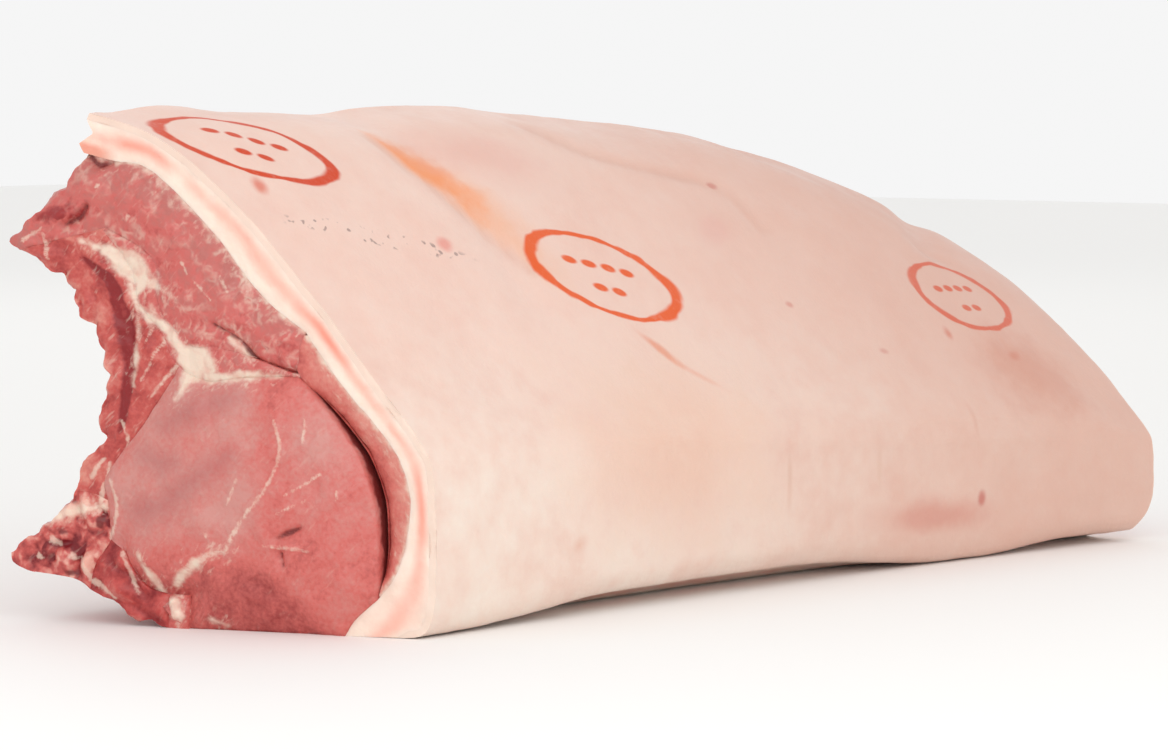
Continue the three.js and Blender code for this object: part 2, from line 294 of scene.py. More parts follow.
class Finish:
    """The node tree of one material. Each method adds a node and gives back its output."""

    def __init__(self, name, shader):
        self.material = bpy.data.materials.new(name)
        self.material.use_nodes = True
        self.tree = self.material.node_tree
        self.shader = self.tree.nodes["Principled BSDF"]
        self.fill(self.shader, shader)

    def fill(self, node, sockets):
        for key, value in sockets.items():
            if isinstance(value, bpy.types.NodeSocket):
                self.tree.links.new(value, node.inputs[key])
            else:
                node.inputs[key].default_value = value

    def add(self, kind, sockets, output=0, **settings):
        node = self.tree.nodes.new("ShaderNode" + kind)
        for key, value in settings.items():
            setattr(node, key, value)
        self.fill(node, sockets)
        return node.outputs[output]

    def attribute(self, name, output="Fac"):
        return self.add("Attribute", {}, output, attribute_name=name)

    def calc(self, operation, a, b=0.0):
        return self.add("Math", {0: a, 1: b}, operation=operation)

    def plus(self, a, b):
        return self.calc("ADD", a, b)

    def minus(self, a, b):
        return self.calc("SUBTRACT", a, b)

    def times(self, a, b):
        return self.calc("MULTIPLY", a, b)

    def length(self, vector):
        return self.add("VectorMath", {0: vector}, "Value", operation="LENGTH")

    def swing(self, wave, far):
        """How far a wave is above its middle, times a factor."""
        return self.times(self.minus(wave, 0.5), far)

    def ease(self, value, start, end, low=0.0, high=1.0):
        sockets = {"Value": value, "From Min": start, "From Max": end, "To Min": low, "To Max": high}
        return self.add("MapRange", sockets, interpolation_type="SMOOTHSTEP")

    def blend(self, share, under, over):
        return self.add("Mix", {0: share, 6: under, 7: over}, 2, data_type="RGBA")

    def ramp(self, value, *stops):
        """Colours at given places from 0 to 1, blended between them."""
        colour = self.add("ValToRGB", {"Fac": value})
        elements = colour.node.color_ramp.elements
        elements[0].position, elements[0].color = stops[0][0], tint(stops[0][1])
        elements[1].position, elements[1].color = stops[-1][0], tint(stops[-1][1])
        for place, code in stops[1:-1]:
            elements.new(place).color = tint(code)
        return colour

    def waves(self, size, detail=3.0, stretch=(1, 1, 1), turn=(0, 0, 0), seed=0.0):
        """Noise in the piece's own coordinates, with waves of about the given size, longer along
        the turned axes by the given factors."""
        own = self.add("TexCoord", {}, "Object")
        place = {"Vector": own, "Scale": stretch, "Rotation": turn, "Location": (seed, seed, seed)}
        turned = self.add("Mapping", place, vector_type="TEXTURE")
        return self.add("TexNoise", {"Vector": turned, "Scale": 1 / (size * MM), "Detail": detail})

    def bump(self, height, depth, strength=1.0):
        sockets = {"Height": height, "Distance": depth * MM, "Strength": strength}
        self.fill(self.shader, {"Normal": self.add("Bump", sockets)})


def tint(code):
    """A colour from its six hexadecimal digits, as the shaders take it."""
    levels = [int(code[i:i + 2], 16) / 255 for i in (0, 2, 4)]
    return [c / 12.92 if c <= 0.04045 else ((c + 0.055) / 1.055) ** 2.4 for c in levels] + [1]


# Folds of the rind: a line of [along the back, around it from the table], height, half width
BROAD_FOLDS = [
    ([[108, 214], [112, 181], [108, 128]], -1.7, 11),
    ([[95, 67], [190, 61], [285, 58], [362, 59]], 0.6, 2.8),
    ([[62, 240], [106, 238]], -3, 17),
    ([[328, 218], [380, 203]], -3.2, 17),
    ([[421, 238], [395, 200], [374, 170]], -3.8, 8.5),
    ([[416, 168], [430, 110]], 2.2, 24),
]
CREASES = [
    ([[97, 206], [97, 192], [99.5, 182], [106.5, 164], [118, 140]], -0.8, 2.6),
    ([[185, 216], [203, 199.6], [232, 190.5], [261, 184], [268, 160]], -1.1, 3.6),
]
CREASE_SOFT = (-0.8, 1.6)  # the stain beyond the first crease starts over this distance
WAVE_HIGH, WAVE_LONG = 1.3, 75
DIMPLE_HIGH, DIMPLE_LONG = 0.35, 18


def hide_place(piece, around):
    """[along the back, around it] of a piece's vertices, from the arc length of its columns."""
    return np.stack([LENGTH * piece.share, around[piece.column]], 1)


def in_fold(place, line, wide):
    """1 along a fold, fading out over its half width."""
    return np.exp(-((gap_to(place, line, [0, 0]) / wide) ** 2))


def hide_relief(place):
    """How far the rind stands above its plain form."""
    fold = sum(high * in_fold(place, line, wide) for line, high, wide in BROAD_FOLDS + CREASES)
    sheet = np.pad(place, ((0, 0), (0, 1)))
    return (
        fold
        + WAVE_HIGH * ripple(sheet, WAVE_LONG, 1, 2)
        + DIMPLE_HIGH * ripple(sheet, DIMPLE_LONG, 2, 2)
    )


under_rind = skin_edge - RIND_THICK * left_of(skin_edge)
under_rind[0] = skin_edge[0] + [RIND_THICK, 0]
flap_course = (skin_edge[-1] - skin_edge[-2]) / np.linalg.norm(skin_edge[-1] - skin_edge[-2])
around_skin = np.concatenate([[0], np.cumsum(np.linalg.norm(np.diff(skin_edge, axis=0), axis=1))])
rind = layer("rind", skin_edge, under_rind, *RIND_CELLS[1:])
rind_end = smooth((rind.across - FLAP_TORN, rind.across), rind.column)
rind.tear(flap_course, rind_end, *FLAP_TEAR)
rind.reshape(rind.flat + flap_course * (FLAP_CURL[0][1] * rind_end)[:, None])
rind_place = hide_place(rind, around_skin)
rind.reshape(rind.flat + left_of(skin_edge)[rind.column] * hide_relief(rind_place)[:, None])
rind.stand_out(uneven(rind.points))
rind.note("hide", np.pad(rind_place * MM, ((0, 0), (0, 1))))
rind.note("edge", rind.cut)
# The creases are painted darker, as shade in the folds.
rind.note("crease", sum(in_fold(rind_place, line, wide) for line, _, wide in CREASES))
crease_along, crease_around = np.array(CREASES[0][0])[::-1].T
past_crease = rind_place[:, 0] - np.interp(rind_place[:, 1], crease_around, crease_along)
rind.note("past_crease", smooth(CREASE_SOFT, past_crease))

# Ink and stains on the rind, placed as [along the back, around it]
OVALS = [
    ((33, 202), (29.4, 16.8), -28, "c93c04", 1),
    ((154.5, 136.4), (33, 18.6), -15, "dc5406", 0.97),
    ((366, 137.8), (27.2, 18.5), 13, "d04f26", 0.85),
]  # centre, half sizes, turn in degrees, colour, strength
RING_HALF, RING_SOFT, RING_WOBBLE = 0.075, 0.03, 0.12  # of the oval's half sizes
RING_THIN, RING_THICK = 0.8, 1.15  # the line swells from the oval's sides to its ends
DOT_ROWS = [(0.24, 0.54), (-0.36, 0.27)]  # height in the oval, half length of the row
DOT_PITCH, DOT_HALF = 0.27, (0.105, 0.1)
STAINS = [
    ((116, 166), (44, 16), 112, "e4a886", 0.6),
    ((106, 187), (30, 11), 113, "e98d54", 0.9),
]  # on the far side of the first crease; centre, half sizes, turn, colour, strength
PATCHES = [
    ((135, 66), (74, 46), 0, "dfb39d", 0.6),
    ((157, 104), (13, 3), -55, "d97a52", 0.6),
    ((168, 91), (12, 2.5), -40, "dc9274", 0.4),
    ((81.6, 152), (5, 3.5), 20, "d97467", 0.6),
    ((18.4, 182.2), (5, 3), 60, "cf5230", 0.7),
    ((260.8, 184.8), (2.6, 2), 10, "c4796c", 0.7),
    ((249.3, 122), (2.4, 1.8), 0, "c98073", 0.6),
    ((287.7, 100), (2.8, 1.7), 0, "c98a7d", 0.6),
    ((337.4, 112), (5, 3), 70, "c7664f", 0.6),
    ((371.3, 104), (5, 3), 30, "c7664f", 0.6),
    ((372, 96), (40, 28), 10, "ca8b76", 0.62),
    ((316, 66), (2.2, 12), 0, "d0a08e", 0.45),
    ((254, 50), (2.2, 11), 0, "d6b09c", 0.45),
    ((240, 160), (18, 9), 20, "d9a196", 0.4),
    ((290, 27), (46, 9), -2, "cc8777", 0.65),
    ((318.5, 32.7), (3, 4), 0, "b95a4f", 0.7),
    ((76, 32), (6, 4), 30, "d9a792", 0.5),
    ((198.6, 48.8), (2.2, 16), 0, "d3aa97", 0.5),
    ((60, 225), (60, 12), -4, "dbb0a0", 0.4),
    ((138, 196), (36, 20), -8, "dba496", 0.5),
]  # centre, half sizes, turn, colour, strength
PEN_LINE = ((51, 156.5), (46, 4.5), -16.3)  # a row of faint pencil ticks


def on_hide(f, place, centre, half, turn):
    """The rind's own coordinates, moved so that an oval there becomes the unit circle."""
    sockets = {
        "Vector": place,
        "Location": (centre[0] * MM, centre[1] * MM, 0),
        "Rotation": (0, 0, math.radians(turn)),
        "Scale": (half[0] * MM, half[1] * MM, 1),
    }
    return f.add("Mapping", sockets, vector_type="TEXTURE")


def ink_oval(f, place, centre, half, turn):
    """A ring with two rows of dots, stamped in ink."""
    local = on_hide(f, place, centre, half, turn)
    x, y = (f.add("SeparateXYZ", {"Vector": local}, axis) for axis in ("X", "Y"))
    reach = f.plus(f.length(local), f.swing(f.waves(16, 1), RING_WOBBLE))
    edge = f.calc("ABSOLUTE", f.minus(reach, 1.0))
    swell = f.ease(f.calc("ABSOLUTE", x), 0.3, 1.0, RING_THIN, RING_THICK)
    pressed = f.ease(f.waves(9, 1, seed=6.0), 0.35, 0.65, 0.8, 1.25)
    edge = f.calc("DIVIDE", edge, f.times(swell, pressed))
    ink = f.ease(edge, RING_HALF + RING_SOFT, RING_HALF - RING_SOFT)
    column = f.calc("FRACT", f.calc("DIVIDE", x, DOT_PITCH))
    dot_x = f.calc("DIVIDE", f.minus(column, 0.5), DOT_HALF[0] / DOT_PITCH)
    for height, half_row in DOT_ROWS:
        dot_y = f.calc("DIVIDE", f.minus(y, height), DOT_HALF[1])
        from_dot = f.calc("SQRT", f.plus(f.calc("POWER", dot_x, 2), f.calc("POWER", dot_y, 2)))
        in_row = f.calc("LESS_THAN", f.calc("ABSOLUTE", x), half_row)
        ink = f.calc("MAXIMUM", ink, f.times(f.ease(from_dot, 1.25, 0.7), in_row))
    return ink


def rind_finish():
    f = Finish("rind", {
        "Roughness": 0.42, "Subsurface Weight": 0.05, "Subsurface Radius": (1, 0.45, 0.3),
        "Subsurface Scale": 0.004, "Coat Weight": 0.03, "Coat Roughness": 0.3, "Specular IOR Level": 0.3,
    })
    place = f.attribute("hide", "Vector")
    along, around = (f.add("SeparateXYZ", {"Vector": place}, axis) for axis in ("X", "Y"))
    broad = f.waves(62, 2)
    cloud = f.waves(21, 4, seed=3.0)
    blush = f.times(broad, 0.4)
    mottle = f.waves(7, 3, seed=4.0)
    for wave, weight in ((cloud, 0.35), (mottle, 0.25)):
        blush = f.plus(blush, f.times(wave, weight))
    colour = f.ramp(blush, (0.36, "e9dacd"), (0.5, "e6cec0"), (0.66, "e0bdae"))
    # Pinker and a little darker up the back and towards the far cut: partly the rind's own colour,
    # partly painted shade.
    colour = f.blend(f.ease(around, 0.04, 0.14, 0, 0.65), colour, tint("e2bbad"))
    colour = f.blend(f.ease(along, 0.08, 0.4, 0, 0.75), colour, tint("d3a594"))
    # Painted shade: darker along the creases.
    colour = f.blend(f.times(f.attribute("crease"), 0.35), colour, tint("d09c88"))
    colour = f.blend(f.times(f.attribute("edge"), 0.7), colour, tint("e6cfbf"))
    ragged = f.plus(f.times(cloud, 1.5), f.times(mottle, 0.6))
    ragged = f.minus(ragged, 1.05)
    for number, (*oval, code, strength) in enumerate(STAINS + PATCHES):
        reach = f.length(on_hide(f, place, *oval))
        share = f.ease(f.plus(reach, ragged), 1.15, 0.15, 0, strength)
        if number < len(STAINS):
            share = f.times(share, f.attribute("past_crease"))
        colour = f.blend(share, colour, tint(code))
    off_line = f.length(on_hide(f, place, *PEN_LINE))
    specks = f.waves(3.2, 1, seed=8.0)
    ticks = f.times(f.ease(specks, 0.6, 0.68), f.ease(off_line, 1.0, 0.7))
    colour = f.blend(f.times(ticks, 0.6), colour, tint("6f5a58"))
    for *oval, code, strength in OVALS:
        worn = f.ease(f.waves(3.4, 3, seed=5.0), 0.3, 0.45, 0.9 * strength, strength)
        colour = f.blend(f.times(ink_oval(f, place, *oval), worn), colour, tint(code))
    pores = f.waves(1.6, 3)
    f.fill(f.shader, {"Base Color": colour, "Roughness": f.ease(cloud, 0.3, 0.7, 0.36, 0.5)})
    f.bump(f.plus(pores, f.times(f.waves(7, 2), 2.0)), 0.22, 0.6)
    return f.material


rind.finish(rind_finish(), "rind_and_fat")

# Back fat: the firm white layer between the rind and the lean, grown to both. It is two beds
# with a pinker line between them where the cut shows it, and it folds under at the table.
LEAN_TOP = [
    [119, 161], [109, 158.6], [102, 158], [95, 154.6], [84, 145],
    [72.5, 132.6], [64.8, 122.6], [56.5, 112.8], [49, 106.8], [42.5, 102],
]
LEAN_SIDE = [
    [42.5, 102], [34, 90], [26.5, 80.3], [18.5, 71.2], [11.5, 62.6],
    [7.9, 53.5], [6.5, 44.5], [8, 32], [11.6, 20.6], [18, 12.5],
]
LEAN_FOOT = [[18, 12.5], [25.5, 5.5], [29, 0]]
FAT_DEEP, FAT_STEPS = 16, 60
FAT_SUNK, FAT_SUNK_LONG = 0.8, 18  # the soft middle of the layer sinks in places
LIP_FROM = 222  # the fat's lower edge is redder from here on around the back
PINK_BEDS = [(120, 34, 1.0), (50, 36, 0.85), (216, 30, 0.9)]  # place around, half length, strength


def joined(*runs):
    """Runs that follow each other, as one."""
    return np.vstack([runs[0]] + [run[1:] for run in runs[1:]])


lean_edge = joined(spaced(LEAN_TOP, 56), spaced(LEAN_SIDE, 54), spaced(LEAN_FOOT, 8))[::-1]
back_fat = layer("back_fat", under_rind, lean_edge, FAT_DEEP, FAT_STEPS)
fat_depth = back_fat.row / FAT_DEEP
fat_end = smooth((back_fat.across - FLAP_TORN, back_fat.across), back_fat.column)
back_fat.tear(flap_course, fat_end, *FLAP_TEAR)
curl = np.interp(fat_depth, *zip(*FLAP_CURL)) * fat_end
back_fat.reshape(back_fat.flat + flap_course * curl[:, None])
fat_relief = hide_relief(hide_place(back_fat, around_skin)) * (1 - fat_depth)
back_fat.reshape(back_fat.flat + left_of(skin_edge)[back_fat.column] * fat_relief[:, None])
soft_middle = FAT_SUNK * np.sin(np.pi * fat_depth) * ripple(back_fat.points, FAT_SUNK_LONG, 3)
back_fat.stand_out(uneven(back_fat.points) - soft_middle)
back_fat.note("depth", fat_depth)
back_fat.note("hide", np.pad(hide_place(back_fat, around_skin) * MM, ((0, 0), (0, 1))))


def back_fat_finish():
    f = Finish("back_fat", {
        "Roughness": 0.4, "Subsurface Weight": 0.2, "Subsurface Radius": (1, 0.55, 0.4),
        "Subsurface Scale": 0.005, "Coat Weight": 0.15, "Coat Roughness": 0.25,
    })
    cloud = f.waves(11, 4)
    around = f.add("SeparateXYZ", {"Vector": f.attribute("hide", "Vector")}, "Y")
    depth = f.plus(f.attribute("depth"), f.swing(f.waves(16, 2), 0.35))
    colour = f.ramp(cloud, (0.3, "f1ddcd"), (0.7, "eaccbc"))
    line = f.ease(f.calc("ABSOLUTE", f.minus(depth, 0.36)), 0.4, 0.0)
    strength = f.ease(f.waves(17, 2, seed=2.0), 0.35, 0.62, 0.2, 0.55)
    for place, half, share in PINK_BEDS:
        off = f.calc("ABSOLUTE", f.minus(around, place * MM))
        bed = f.ease(off, half * MM, 0, 0, share)
        strength = f.calc("MAXIMUM", strength, f.times(bed, f.ease(cloud, 0.3, 0.6, 0.85, 1)))
    colour = f.blend(f.times(line, strength), colour, tint("ec9480"))
    at_lip = f.ease(around, LIP_FROM * MM, (LIP_FROM + 9) * MM)
    lip = f.times(at_lip, f.ease(depth, 0.5, 0.8, 0, 0.85))
    colour = f.blend(lip, colour, tint("e28a72"))
    lean_side = f.times(f.ease(depth, 0.96, 1.08), 0.5)
    colour = f.blend(lean_side, colour, tint("d49a88"))
    f.fill(f.shader, {"Base Color": colour})
    f.bump(f.plus(f.waves(2.2, 3), f.waves(6, 2)), 0.35, 0.6)
    return f.material


back_fat.finish(back_fat_finish(), "rind_and_fat")

# Cap muscle: the thin brownish muscle that lies on the back fat. At the shown cut it has drawn
# back and come away from the eye, which leaves an open seam between them; its cut face darkening towards
# the seam and the seam painted dark red are painted shade.
CREVICE = [
    [42.5, 102], [44.5, 95], [44.5, 87], [36, 76.8], [29, 67.7],
    [23, 58], [19, 46], [17.5, 33], [17.2, 22], [18, 12.5],
]
CREVICE_OPEN = [-0.2, 0, 1.6, 2.8, 3.2, 2.4, 0.4]  # width at the shown cut, downwards
CREVICE_DEPTH, CREVICE_SEAM = 50, 0.2
CAP_DRAWN_BACK = 3
CAP_FROM, CAP_TO = 0.014, 0.985  # the share of the lean side that it covers
CAP_CELLS, CAP_DEEP, CAP_STEPS = 112, 10, 46
CLEAR = 20.0  # how far outside a line stands for not near it


def flesh_finish(name, deep, lean, pale, bundle=0.3, fat="e0cab8", film=None, lie=0.7, cell=4.8,
                 fleck=0.15, web=0.0):
    """Wet cut meat. The piece's attributes give its tone from deep (0) to pale (1), and how far
    a point lies outside its fat, its white veins and its clefts, in millimetres; the clefts are
    painted dark red as shade. The grain leans by an angle in the cut. Cells, flecks and a broken
    web of pale lines make its bundles."""
    f = Finish(name, {
        "Subsurface Weight": 0.15, "Subsurface Radius": (1, 0.35, 0.25), "Subsurface Scale": 0.003,
        "Coat Weight": 0.12, "Coat Roughness": 0.16, "Specular IOR Level": 0.35,
    })
    own = f.add("TexCoord", {}, "Object")
    shake = f.add("TexNoise", {"Vector": own, "Scale": 1 / (7 * MM), "Detail": 2.0}, "Color")
    shake = f.add("VectorMath", {0: shake, 1: (0.5, 0.5, 0.5)}, operation="SUBTRACT")
    shake = f.add("VectorMath", {0: shake, "Scale": 9 * MM}, operation="SCALE")
    shaken = {"Vector": f.add("VectorMath", {0: own, 1: shake}), "Scale": 1 / (cell * MM)}
    cells = f.add("TexVoronoi", {**shaken, "Smoothness": 1.0}, "Color", feature="SMOOTH_F1")
    cells = f.add("SeparateColor", {"Color": cells})
    mottle = f.waves(15, 3)
    grain = f.waves(1.5, 4, seed=1.0)
    tone = f.attribute("tone")
    broad = f.waves(6, 2, (4, 1, 3), (lie, 0, 0), 2.0)
    for wave, weight in ((mottle, 0.45), (broad, 0.4), (cells, bundle), (grain, 0.55)):
        tone = f.plus(tone, f.swing(wave, weight))
    colour = f.ramp(tone, (0.05, deep), (0.5, lean), (0.95, pale))
    streak = f.waves(1.7, 2, (6, 1, 3.5), (lie, 0, 0), 7.0)
    colour = f.blend(f.ease(streak, 0.58, 0.78, 0, fleck), colour, tint(fat))
    if web:
        shaken["Scale"] = 0.5 / (cell * MM)
        from_line = f.add("TexVoronoi", shaken, "Distance", feature="DISTANCE_TO_EDGE")
        broken = f.ease(f.waves(5, 3, seed=8.0), 0.42, 0.66, 0, web)
        near_fat = f.ease(f.attribute("fat"), 17.0, 2.0)
        lines = f.times(f.ease(from_line, 0.24, 0.0), f.times(broken, near_fat))
        colour = f.blend(lines, colour, tint(fat))
    if film:
        colour = f.blend(f.attribute("film"), colour, tint(film))
    ragged = f.minus(f.waves(4.6, 5, seed=4.0), 0.5)
    fine = f.minus(f.waves(1.8, 3, seed=4.5), 0.5)
    fatty = f.ease(f.plus(f.attribute("fat"), f.times(ragged, 5.0)), 1.4, -1.1)
    vein = f.ease(f.plus(f.attribute("vein"), f.times(fine, 2.2)), 0.6, -0.35, 0, 0.62)
    thread = f.waves(1.7, 3, (1, 1, 2), (lie, 0, 0), 6.0)
    feather = f.minus(thread, f.times(f.attribute("fat"), 0.045))
    white = f.calc("MAXIMUM", f.calc("MAXIMUM", fatty, vein), f.ease(feather, 0.42, 0.66, 0, 0.45))
    fat_tone = f.blend(f.ease(f.waves(5, 3, seed=9.0), 0.42, 0.68, 0, 0.5), tint(fat), tint("cf9686"))
    colour = f.blend(white, colour, fat_tone)
    # Painted shade: dark red in the clefts and in the open seam.
    cleft_shade = f.ease(f.plus(f.attribute("dark"), f.times(ragged, 2.5)), 0.7, -0.5, 0, 0.9)
    colour = f.blend(cleft_shade, colour, tint("6c1a1a"))
    f.fill(f.shader, {"Base Color": colour, "Roughness": f.ease(mottle, 0.3, 0.7, 0.3, 0.5)})
    height = f.plus(f.times(cells, 0.8), grain)
    f.bump(f.plus(height, f.times(white, 0.5)), 0.45, 0.6)
    return f.material


def dress(piece, *tones, **looks):
    """Gives a piece of flesh its finish, and the place of the CAD node of the same name."""
    piece.finish(flesh_finish(piece.name, *tones, **looks), piece.name)


def gaps(piece, lines):
    """How far the vertices of a piece lie outside the nearest of several [line, half widths]."""
    gap = np.full(len(piece.share), CLEAR)
    for line, half_width in lines:
        gap = np.minimum(gap, gap_to(piece.flat, line, half_width))
    return gap


def paint(piece, tone, fat=None, vein=(), dark=None):
    """Writes what the flesh finish reads."""
    clear = np.full(len(piece.share), CLEAR)
    piece.note("tone", tone)
    piece.note("fat", clear if fat is None else fat)
    piece.note("vein", gaps(piece, vein))
    piece.note("dark", clear if dark is None else dark)


def beside(gap, reach):
    """1 on a line, fading out beside it over about the given distance."""
    return np.exp(-np.maximum(gap, 0) / reach)


def shade_in_seam(piece):
    """How far points inside the open seam lie outside its painted shade, which makes the seam's walls
    dark red from a millimetre or two in from the shown cut.
    """
    return np.maximum(1.4 - 0.7 * piece.share * LENGTH, -2)


def fixed_ends(count, index, cells=6):
    """1 along an edge, fading to 0 at its two ends, where the neighbours meet."""
    return smooth((0, cells), index) * smooth((count, count - cells), index)


def along_part(points, cells):
    """A curve's cells between the two shares of it that the cap muscle covers."""
    fine = spaced(points, 2 * LINE_CELLS)
    want = np.linspace(CAP_FROM, CAP_TO, cells + 1) * 2 * LINE_CELLS
    return np.stack([np.interp(want, np.arange(len(fine)), fine[:, k]) for k in (0, 1)], 1)


cap_fat_side = along_part(LEAN_SIDE, CAP_CELLS)
cap_facing = along_part(CREVICE, CAP_CELLS)
cap = layer("cap_muscle", cap_fat_side, cap_facing, CAP_DEEP, CAP_STEPS)
open_width = np.interp(np.linspace(0, 1, CAP_CELLS + 1), np.linspace(0, 1, 7), CREVICE_OPEN)
closed = smooth((0, CREVICE_DEPTH), cap.share * LENGTH)
opened = open_width[cap.column] * (1 - closed) + CREVICE_SEAM * closed
cap.reshape(cap.flat - left_of(cap_facing)[cap.column] * (opened * cap.row / CAP_DEEP)[:, None])
to_crevice = cap.row / CAP_DEEP
drawn_back = smooth((14, 32), cap.column) * smooth((CAP_CELLS, CAP_CELLS - 12), cap.column)
cap.stand_out(uneven(cap.points) - CAP_DRAWN_BACK * to_crevice ** 2 * drawn_back, 0)
cap_thick = np.linalg.norm(cap_facing - cap_fat_side, axis=1)[cap.column]
shut = 6 * smooth((1, 0.3), open_width)[cap.column]
# Painted shade: the tone and the dark red deepen towards the open seam, and the seam's wall is dark red
# a little way in from the cut; none where the seam is shut.
paint(
    cap, 0.8 - 0.45 * to_crevice ** 2 - 0.08 * smooth((60, 20), cap.flat[:, 1]),
    gap_to(cap.flat, LEAN_SIDE, [0.3, 0.3]),
    dark=np.where(cap.row == CAP_DEEP, shade_in_seam(cap), cap_thick * (1 - to_crevice) + 0.3) + shut,
)
dress(cap, "a03a38", "c8695f", "d28f81", 0.25, lie=-0.6)

# Blade muscle: the flat muscle of the flap, above the fat seam. It is cut across its grain and
# swells out of the cut a little; its thin edge at the rib side is torn and dark red, and its clefts are
# painted dark as shade.
FLAP_TIP = [[119, 161], [129, 148.5], [145, 133.5], [143, 128]]
TIP_MIDDLE = [128, 132]
SEAM_LINE = [[113, 135.5], [99, 123], [97, 110], [90, 100], [82, 91.5], [65, 90], [44.5, 87]]
SEAM_HALF_WIDTH = [0.7, 5, 2.2, 2.2, 6, 1.2, 0.7]
SEAM_AT_RIBS, SEAM_AT_EYE = 56, 42  # cells along the seam
BLADE_DEEP, BLADE_STEPS = 54, 90
BLADE_SWELL, BLADE_ROUND = 3, 8  # height out of the cut, distance from the rim where it's reached
BLADE_CLEFT_DEEP, BLADE_CLEFT_REACH = 2.4, 1.2
BLADE_TONES, BLADE_CELL, BLADE_WEB = ("962d2d", "c4605a", "b4665f"), 2.6, 0.42
TIP_CELLS, TIP_TEAR = 44, (13, 2.4, 8)
TIP_FROM, TIP_ROUND, TIP_ROUGH = (112, 136), 3, 1.6  # where it grows rough, and how much
SEAM_WHITE = [
    ([[121, 131.4], [114.6, 129.1], [108.2, 125.8], [102.5, 122.5], [99.7, 117.8], [101.8, 114.4]],
     [0.3, 1, 2.4, 4.4, 3.6, 0.8]),
    ([[96.6, 117.2], [90.6, 114.6], [86.7, 112.6]], [1.6, 0.6, 0.1]),
    ([[103.3, 116.7], [101.2, 109.9], [100.9, 101.4], [101.7, 91.2], [102.5, 82.7]],
     [0.8, 0.4, 0.3, 0.3, 0.1]),
    ([[100.4, 109], [96.9, 105.6], [92.7, 103.4], [88.4, 98.4], [84.6, 93.7]],
     [0.6, 1.5, 1.6, 1.5, 2.4]),
    ([[84.6, 93.4], [79.3, 91.1], [75.1, 88.8]], [3, 4.6, 2.8]),
    ([[80.4, 89.1], [83.6, 83.6], [86.4, 78.7]], [3.2, 1.8, 0.3]),
    ([[76, 86.3], [70, 86.2], [64.9, 86.6], [58.2, 86.8], [51.3, 86.8]], [2.4, 1.8, 1.3, 0.9, 0.3]),
    ([[68.6, 99.5], [64.1, 95.2], [61.3, 91.3]], [0.2, 0.4, 0.4]),
]
BLADE_VEINS = [
    ([[85, 124.9], [82.9, 120.8]], [0.3, 0.15]),
    ([[71.7, 120], [68.5, 115]], [0.3, 0.15]),
    ([[79.8, 118.2], [74.5, 112.2]], [0.2, 0.1]),
    ([[141.2, 131.5], [137.5, 133.9], [135.4, 135.6]], [0.5, 0.5, 0.2]),
    ([[134.7, 133.6], [133.2, 129.5], [132.6, 125.4]], [0.3, 0.6, 0.3]),
    ([[104, 140], [104, 139.4]], [0.5, 0.5]),
    ([[113.9, 150.6], [114.6, 149.8]], [0.3, 0.3]),
]
# Clefts in the cut, sunk and painted dark red as shade.
BLADE_CLEFTS = [
    ([[74, 104], [64.8, 98.3], [59.6, 91.8], [52, 88.5], [44, 87]], [0.05, 0.15, 0.4, 0.9, 0.8]),
    ([[119.1, 161.3], [117, 158.3], [114.5, 157], [110.9, 158]], [0.6, 0.7, 0.6, 0.1]),
    ([[127, 136.8], [121.5, 139.5], [119, 143.5]], [0.1, 0.5, 0.2]),
]
BLADE_BRUISE = ([[136, 139.4], [129.9, 140.5], [123.1, 141.3], [119.1, 143.3]], [1.6, 2.8, 2.6, 1.4])
TIP_LUMPS = [
    ((140, 130.5), (4, 3.6), 2.6),
    ((130, 140.5), (8, 2.8), 2.4),
    ((127, 132.5), (5, 2.2), 1.8),
    ((134, 126), (4, 2.4), 1.6),
    ((116, 150), (5, 6), 1.2),
]  # centre, half sizes, height

seam_cells = SEAM_AT_RIBS + SEAM_AT_EYE
seam_line = spaced(SEAM_LINE, seam_cells)
seam_width = spaced([[i, w] for i, w in enumerate(SEAM_HALF_WIDTH)], seam_cells)[:, 1][:, None]
seam_above = seam_line - left_of(seam_line) * seam_width
seam_below = seam_line + left_of(seam_line) * seam_width
tip_to_seam = spaced([FLAP_TIP[-1], TIP_MIDDLE, seam_above[0]], TIP_CELLS)
blade_top = spaced(LEAN_TOP, TIP_CELLS + seam_cells)
flap_tip = spaced(FLAP_TIP, BLADE_DEEP)
blade = Tissue(
    "blade_muscle", blade_top, joined(tip_to_seam, seam_above),
    flap_tip, spaced(CREVICE[:2] + [seam_above[-1]], BLADE_DEEP), BLADE_STEPS,
)


def tip_relief(flat):
    """How far the lumps at the flap's tip stand out."""
    high = np.zeros(len(flat))
    for centre, half, lump in TIP_LUMPS:
        high += lump * np.exp(-np.sum(((flat - centre) / half) ** 2, axis=1))
    return high


tip_inside = (1 - blade.column / blade.across) ** 9 * fixed_ends(BLADE_DEEP, blade.row)
blade.tear(left_of(flap_tip)[blade.row], tip_inside, *TIP_TEAR)
blade_clefts = gaps(blade, BLADE_CLEFTS)
bruise = smooth((2, -2), gap_to(blade.flat, *BLADE_BRUISE)) * smooth((0.12, 0.02), blade.share)
blade_tip = smooth(TIP_FROM, blade.flat[:, 0]) * blade.domed(TIP_ROUND)
blade.stand_out(
    BLADE_SWELL * blade.domed(BLADE_ROUND) + uneven(blade.points)
    + tip_relief(blade.flat) + TIP_ROUGH * blade_tip * ripple(blade.points, 6, 23)
    - BLADE_CLEFT_DEEP * beside(blade_clefts, BLADE_CLEFT_REACH)
)
to_seam = blade.row / BLADE_DEEP
blade_tone = 0.88 - 0.28 * smooth((0.1, 0.55), to_seam) - 0.55 * bruise
